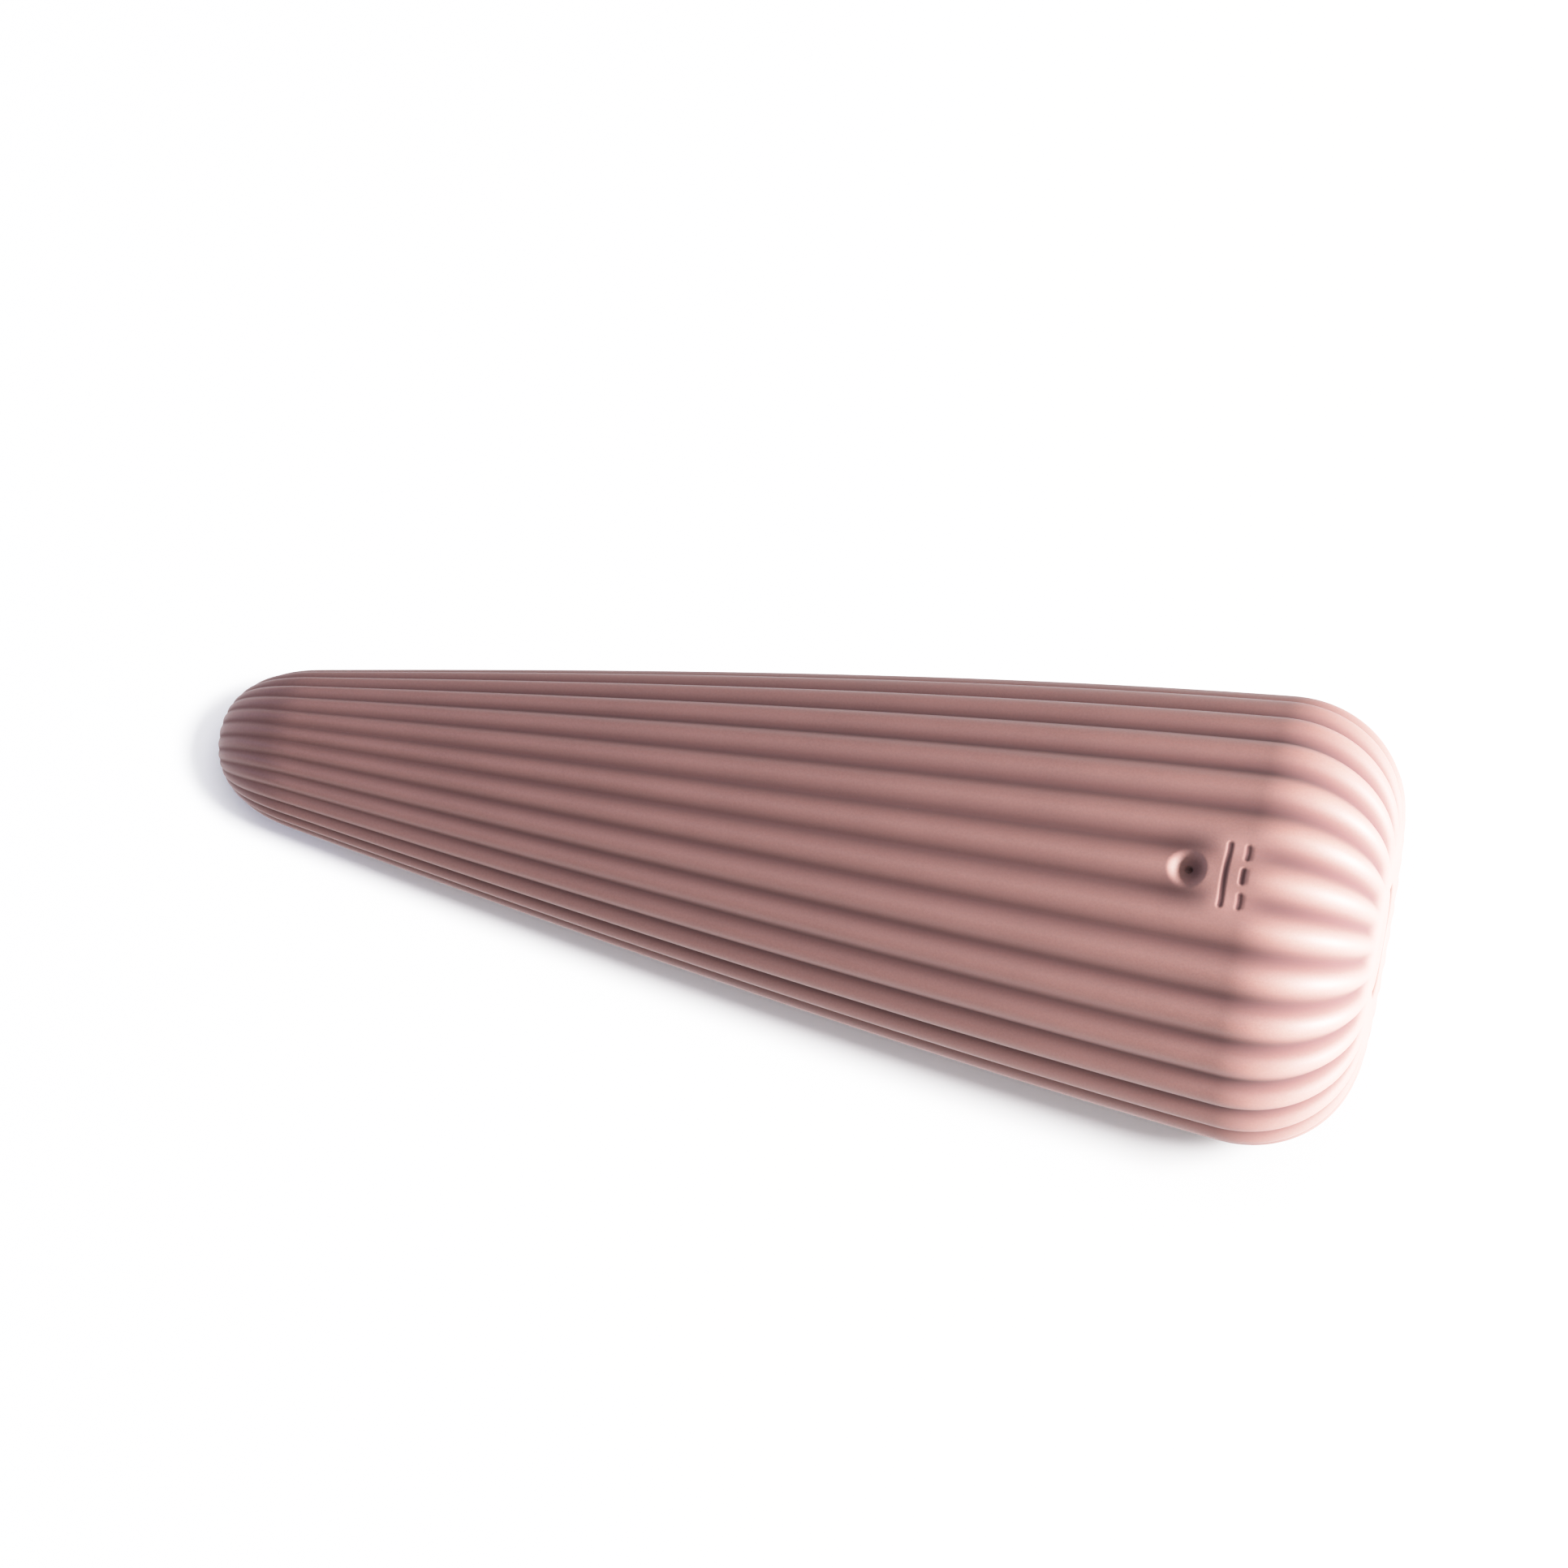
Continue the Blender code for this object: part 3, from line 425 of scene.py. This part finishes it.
def build_button(material):
    """The push button: a cap with a shallow dish, its flange and stem."""
    stations = button_stations()
    along, radius = over_columns(stations, BUTTON_COLUMNS)
    angle = np.linspace(0.0, 2.0 * math.pi, BUTTON_COLUMNS, endpoint=False)[None, :]
    rings = to_world(along, radius, np.broadcast_to(angle, along.shape)).reshape(-1, 3)
    ends = to_world(np.array([BUTTON_FOOT_S, BUTTON_TOP_S - BUTTON_DISH]), np.zeros(2), np.zeros(2))
    count = len(rings)
    faces = grid_faces(len(stations), BUTTON_COLUMNS)
    faces += end_faces(0, BUTTON_COLUMNS, count, True)
    faces += end_faces(count - BUTTON_COLUMNS, BUTTON_COLUMNS, count + 1, False)
    return mesh_object("power_button", np.concatenate([rings, ends]), faces, material)


# ---------------------------------------------------------------- materials

class Nodes:
    """Short calls for building a node material."""

    def __init__(self, name):
        self.material = bpy.data.materials.new(name)
        self.material.use_nodes = True
        self.tree = self.material.node_tree
        self.shader = self.tree.nodes["Principled BSDF"]
        self.place = self.add("ShaderNodeTexCoord").outputs["Object"]

    def add(self, kind, **values):
        node = self.tree.nodes.new(kind)
        for key, value in values.items():
            if hasattr(node, key):
                setattr(node, key, value)
            else:
                node.inputs[key.replace("_", " ")].default_value = value
        return node

    def link(self, output, target):
        self.tree.links.new(output, target)

    def set(self, **values):
        for key, value in values.items():
            self.shader.inputs[key.replace("_", " ")].default_value = value

    def noise(self, scale, detail=2.0, roughness=0.5, stretch=None):
        node = self.add("ShaderNodeTexNoise", Scale=scale, Detail=detail, Roughness=roughness)
        place = self.place
        if stretch:
            mapping = self.add("ShaderNodeMapping", Scale=stretch)
            self.link(place, mapping.inputs["Vector"])
            place = mapping.outputs["Vector"]
        self.link(place, node.inputs["Vector"])
        return node.outputs["Fac"]

    def cells(self, scale):
        node = self.add("ShaderNodeTexVoronoi", Scale=scale)
        self.link(self.place, node.inputs["Vector"])
        return node.outputs["Distance"]

    # the sleeve's per-point share of painted shade, read by the material
    def painted_shade(self):
        node = self.add("ShaderNodeAttribute", attribute_name="painted_shade")
        return node.outputs["Fac"]

    def bands(self, scale, distortion=0.0):
        node = self.add("ShaderNodeTexWave", Scale=scale, Distortion=distortion)
        self.link(self.place, node.inputs["Vector"])
        return node.outputs["Fac"]

    def ramp(self, source, *stops):
        node = self.add("ShaderNodeValToRGB")
        elements = node.color_ramp.elements
        while len(elements) < len(stops):
            elements.new(0.5)
        for element, (position, colour) in zip(elements, stops):
            element.position = position
            element.color = (*colour, 1.0)
        self.link(source, node.inputs["Fac"])
        return node.outputs["Color"]

    def span(self, source, low, high, from_low=0.3, from_high=0.7):
        node = self.add("ShaderNodeMapRange")
        node.inputs["From Min"].default_value = from_low
        node.inputs["From Max"].default_value = from_high
        node.inputs["To Min"].default_value = low
        node.inputs["To Max"].default_value = high
        self.link(source, node.inputs["Value"])
        return node.outputs["Result"]

    def mix(self, factor, first, second):
        node = self.add("ShaderNodeMix", data_type="RGBA")
        self.link(factor, node.inputs["Factor"])
        for socket, value in ((node.inputs[6], first), (node.inputs[7], second)):
            if isinstance(value, tuple):
                socket.default_value = (*value, 1.0)
            else:
                self.link(value, socket)
        return node.outputs[2]

    def bump(self, source, distance, strength=1.0, normal=None):
        node = self.add("ShaderNodeBump", Distance=distance, Strength=strength)
        self.link(source, node.inputs["Height"])
        if normal:
            self.link(normal, node.inputs["Normal"])
        return node.outputs["Normal"]

    def finish(self, colour=None, roughness=None, normal=None):
        for source, name in ((colour, "Base Color"), (roughness, "Roughness"), (normal, "Normal")):
            if source:
                self.link(source, self.shader.inputs[name])
        return self.material


def shade(colour, amount):
    """The colour made lighter or darker."""
    return tuple(min(1.0, channel * amount) for channel in colour)


def silicone_material(name, colour, speck, with_painted_shade):
    """Soft-touch silicone: a fine powdery grain, faint mottling and a few lint specks. With its last flag set, the
    mesh's per-point value paints shade into the colour and makes it matt there.
    """
    nodes = Nodes(name)
    mottle = nodes.noise(MOTTLE_SCALE, detail=4.0, roughness=0.6)
    tone = nodes.ramp(mottle, (0.3, shade(colour, 0.91)), (0.7, shade(colour, 1.07)))
    grain = nodes.noise(GRAIN_SCALE, detail=2.0, roughness=0.6)
    surface = nodes.mix(nodes.span(grain, 0.0, GRAIN_SHARE), tone, shade(colour, 1.4))
    lint = nodes.span(nodes.cells(LINT_SCALE), 1.0, 0.0, *LINT_SIZE)
    roughness = nodes.span(mottle, 0.52, 0.62)
    if with_painted_shade:
        # painted shade mixed into the colour by the per-point value
        surface = nodes.mix(nodes.painted_shade(), surface, SILICONE_PAINTED_SHADE)
        matt = nodes.span(nodes.painted_shade(), 0.0, 1.0, from_low=0.15, from_high=0.6)
        roughness = nodes.mix(matt, roughness, WHITE)
    surface = nodes.mix(lint, surface, speck)
    uneven = nodes.bump(nodes.noise(UNEVEN_SCALE, detail=3.0), UNEVEN_HEIGHT, strength=0.5)
    powdery = nodes.bump(grain, GRAIN_HEIGHT, strength=0.5, normal=uneven)
    nodes.set(Subsurface_Weight=0.05, Subsurface_Scale=1.0 * MM, Specular_IOR_Level=0.3)
    return nodes.finish(surface, roughness, powdery)


def plastic_material(name, colour, roughness):
    """Moulded plastic or rubber with a fine texture and a slightly uneven tone."""
    nodes = Nodes(name)
    tone = nodes.noise(90.0, 3.0)
    texture = nodes.noise(3000.0, 2.0)
    base = nodes.ramp(tone, (0.35, shade(colour, 0.93)), (0.65, shade(colour, 1.05)))
    return nodes.finish(base, nodes.span(tone, roughness - 0.05, roughness + 0.07),
                        nodes.bump(texture, 0.00001, 0.4))


def metal_material(name, colour, roughness, stretch=(1.0, 1.0, 1.0)):
    """Bare metal; stretch draws its marks out along one axis, as on a drawn or turned part."""
    nodes = Nodes(name)
    lines = nodes.noise(900.0, 3.0, 0.6, stretch)
    base = nodes.ramp(lines, (0.3, shade(colour, 0.85)), (0.7, shade(colour, 1.08)))
    nodes.set(Metallic=1.0)
    return nodes.finish(base, nodes.span(lines, roughness - 0.08, roughness + 0.1),
                        nodes.bump(lines, 0.000006, 0.35))


def winding_material(name, colour):
    """Fine enamelled wire in turns side by side, with painted shade in the gaps between the turns."""
    nodes = Nodes(name)
    turns = nodes.bands(900.0, 0.6)
    base = nodes.ramp(turns, (0.2, shade(colour, 0.4)), (0.8, shade(colour, 1.1)))
    nodes.set(Metallic=1.0)
    return nodes.finish(base, nodes.span(turns, 0.25, 0.5), nodes.bump(turns, 0.00005, 0.8))


def foam_material(name, colour):
    """Foam with open pores, with painted shade inside the pores."""
    nodes = Nodes(name)
    pores = nodes.cells(1900.0)
    base = nodes.ramp(pores, (0.1, shade(colour, 0.5)), (0.6, shade(colour, 1.4)))
    return nodes.finish(base, nodes.span(pores, 0.85, 0.98), nodes.bump(pores, 0.0001, 0.8))


def board_material(name, colour):
    """Solder mask with the faint relief of copper traces under it."""
    nodes = Nodes(name)
    traces = nodes.cells(260.0)
    edges = nodes.span(traces, 0.0, 1.0, 0.28, 0.34)
    base = nodes.mix(edges, shade(colour, 0.8), shade(colour, 1.5))
    return nodes.finish(base, nodes.span(nodes.noise(60.0), 0.25, 0.4), nodes.bump(edges, 0.00002, 0.6))


def clear_material(name, colour):
    """Clear epoxy with a slight haze."""
    nodes = Nodes(name)
    haze = nodes.noise(300.0, 3.0)
    nodes.set(Transmission_Weight=0.8, IOR=1.5)
    return nodes.finish(nodes.ramp(haze, (0.3, shade(colour, 0.9)), (0.7, colour)),
                        nodes.span(haze, 0.1, 0.22))


def floor_material():
    """Pale paper that gives back a little light of its own."""
    nodes = Nodes("floor_paper")
    tone = nodes.noise(9.0, 3.0)
    grain = nodes.noise(1500.0, 3.0)
    base = nodes.ramp(tone, (0.3, (0.88, 0.88, 0.88)), (0.7, (0.92, 0.92, 0.92)))
    nodes.set(Emission_Color=(*WHITE, 1.0), Emission_Strength=0.05)
    return nodes.finish(base, nodes.span(tone, 0.85, 0.95), nodes.bump(grain, 0.00008, 0.35))


def frame_materials():
    """A procedural material for each of the record's slots."""
    return {
        "casing": plastic_material("abs_casing", (0.78, 0.76, 0.71), 0.45),
        "seal": plastic_material("seal_rubber", (0.05, 0.05, 0.055), 0.7),
        "screw_steel": metal_material("zinc_steel", (0.56, 0.56, 0.58), 0.32),
        "motor_steel": metal_material("drawn_steel", (0.62, 0.62, 0.64), 0.3, (0.05, 1.0, 1.0)),
        "end_plastic": plastic_material("end_moulding", (0.05, 0.05, 0.06), 0.45),
        "bronze": metal_material("sintered_bronze", (0.58, 0.40, 0.19), 0.45),
        "magnet": plastic_material("ferrite_magnet", (0.09, 0.09, 0.10), 0.6),
        "winding": winding_material("copper_winding", (0.72, 0.30, 0.12)),
        "copper": metal_material("commutator_copper", (0.80, 0.42, 0.24), 0.25, (0.05, 1.0, 1.0)),
        "tungsten": metal_material("sintered_heavy_metal", (0.28, 0.28, 0.30), 0.5),
        "carbon": plastic_material("brush_carbon", (0.03, 0.03, 0.03), 0.6),
        "damper": plastic_material("damper_rubber", (0.12, 0.13, 0.15), 0.8),
        "cell_wrap": plastic_material("cell_sleeve", (0.04, 0.19, 0.40), 0.3),
        "cell_cap": metal_material("nickel_cap", (0.75, 0.73, 0.69), 0.25),
        "foam": foam_material("cell_foam", (0.10, 0.10, 0.11)),
        "board": board_material("solder_mask", (0.02, 0.17, 0.08)),
        "chip": plastic_material("chip_epoxy", (0.03, 0.03, 0.03), 0.5),
        "ferrite": plastic_material("coil_ferrite", (0.16, 0.16, 0.17), 0.6),
        "capacitor": plastic_material("capacitor_ceramic", (0.60, 0.48, 0.33), 0.4),
        "connector": plastic_material("connector_nylon", (0.86, 0.83, 0.76), 0.4),
        "jack_plastic": plastic_material("jack_moulding", (0.04, 0.04, 0.05), 0.35),
        "gold": metal_material("gold_plate", (0.93, 0.68, 0.26), 0.25),
        "switch_plastic": plastic_material("switch_moulding", (0.06, 0.06, 0.07), 0.4),
        "plunger": plastic_material("plunger_nylon", (0.84, 0.82, 0.76), 0.4),
        "led_lens": clear_material("led_epoxy", (0.92, 0.94, 0.97)),
        "wire_red": plastic_material("wire_red_jacket", (0.55, 0.03, 0.02), 0.4),
        "wire_black": plastic_material("wire_black_jacket", (0.02, 0.02, 0.02), 0.4),
    }


def dress_frame():
    """Give each CAD node that stays the material of its slot."""
    materials = frame_materials()
    for part in frame["record"]["subparts"]:
        if part["material_slot"] not in materials:
            continue
        node = frame["nodes"][part["node"]]
        for slot in node.material_slots:
            slot.material = materials[part["material_slot"]]


# ---------------------------------------------------------------- stage

def build_floor():
    mesh = bpy.data.meshes.new("floor")
    turns = ((-1, -1), (1, -1), (1, 1), (-1, 1))
    corners = [(FLOOR_HALF * across, FLOOR_HALF * ahead, 0.0) for across, ahead in turns]
    mesh.from_pydata(corners, [], [(0, 1, 2, 3)])
    floor = bpy.data.objects.new("floor", mesh)
    bpy.context.scene.collection.objects.link(floor)
    mesh.materials.append(floor_material())
    return floor


def area_light(name, look):
    """A square soft box at its place, facing its target."""
    light = bpy.data.lights.new(name, "AREA")
    light.shape = "SQUARE"
    light.size = look["size"]
    light.energy = look["power"]
    light.color = look["colour"]
    obj = bpy.data.objects.new(name, light)
    bpy.context.scene.collection.objects.link(obj)
    place = Vector(look["place"])
    obj.location = place
    obj.rotation_euler = (Vector(look["target"]) - place).to_track_quat("-Z", "Y").to_euler()
    return obj


def link_light(light, floor, state):
    """Let a light reach only the floor, or everything but the floor."""
    group = bpy.data.collections.new(light.name + "_reach")
    group.objects.link(floor)
    group.collection_objects[0].light_linking.link_state = state
    light.light_linking.receiver_collection = group


def build_lights(floor):
    world = bpy.data.worlds.new("studio")
    bpy.context.scene.world = world
    world.use_nodes = True
    background = world.node_tree.nodes["Background"]
    background.inputs["Color"].default_value = WORLD_COLOUR
    background.inputs["Strength"].default_value = WORLD_STRENGTH
    for name, look in LIGHTS.items():
        light = area_light(name, look)
        if look["floor"]:
            link_light(light, floor, look["floor"])


def build_camera():
    """The camera, aimed beside its target by CAMERA_SHIFT and turned about its own axis."""
    azimuth = CAMERA_AZIMUTH
    elevation = CAMERA_ELEVATION
    forward = Vector((math.sin(azimuth) * math.cos(elevation), math.cos(azimuth) * math.cos(elevation),
                      -math.sin(elevation)))
    level = Vector((math.cos(azimuth), -math.sin(azimuth), 0.0))
    right = math.cos(CAMERA_ROLL) * level + math.sin(CAMERA_ROLL) * level.cross(forward)
    above = right.cross(forward)
    beside = right * CAMERA_SHIFT[0] + above * CAMERA_SHIFT[1]
    place = CAMERA_TARGET - forward * CAMERA_DISTANCE - beside
    data = bpy.data.cameras.new("camera")
    data.lens = CAMERA_LENS
    data.sensor_width = SENSOR
    data.clip_start = CLIP_START
    camera = bpy.data.objects.new("camera", data)
    bpy.context.scene.collection.objects.link(camera)
    turn = Matrix((right, above, -forward)).transposed().to_4x4()
    camera.matrix_world = Matrix.Translation(place) @ turn
    bpy.context.scene.camera = camera


def set_tone():
    """A camera's response: straight in the shadows, with a soft shoulder up to white."""
    view = bpy.context.scene.view_settings
    view.view_transform = "Standard"
    view.use_curve_mapping = True
    view.curve_mapping.white_level = (WHITE_LEVEL,) * 3
    curve = view.curve_mapping.curves[3]
    curve.points[0].location = (0.0, 0.0)
    curve.points[1].location = (1.0, 1.0)
    for level, shown in TONE_POINTS:
        curve.points.new(level / WHITE_LEVEL, shown)
    view.curve_mapping.update()


# ---------------------------------------------------------------- build

dress_frame()

sleeve = build_sleeve(silicone_material("sleeve_silicone", SILICONE, LINT, True))
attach(sleeve, "housing")
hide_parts("silicone_skin")

button = build_button(silicone_material("button_silicone_skin", SILICONE, LINT, False))
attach(button, "button")
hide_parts("button_cap")

build_lights(build_floor())
build_camera()
set_tone()
